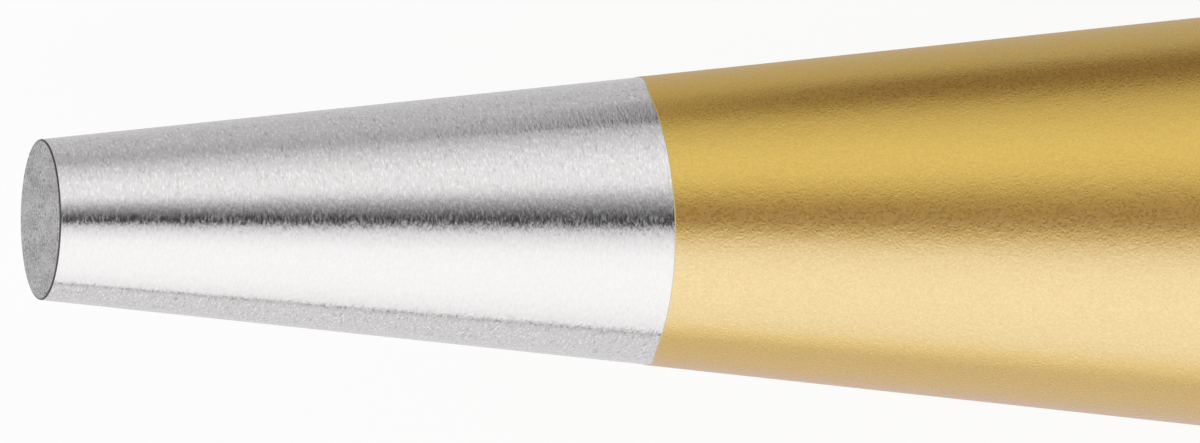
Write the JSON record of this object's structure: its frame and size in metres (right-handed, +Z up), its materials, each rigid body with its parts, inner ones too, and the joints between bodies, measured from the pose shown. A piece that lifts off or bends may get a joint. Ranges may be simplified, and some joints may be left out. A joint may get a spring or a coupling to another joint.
{
  "type": "taper punch",
  "caption": "Octagonal hand punch with a bare ground conical tip, a gold lacquered taper and shank and a bevelled head, struck to start or loosen pins.",
  "frame": {"origin": "centre of the tool's footprint, on the surface that it lies on", "axes": "+X along the tool from its tip to its struck head, +Z up from the flat that it rests on, +Y across"},
  "size_m": [0.12, 0.01, 0.0101],
  "materials": {
    "ground_steel": "bare ground tool steel, fine circumferential grinding marks",
    "gold_lacquer": "gold metallic lacquer, satin gloss with fine flake"
  },
  "bodies": {
    "root": {"steel_blank": "ground_steel", "lacquer_coat": "gold_lacquer"}
  },
  "joints": []
}
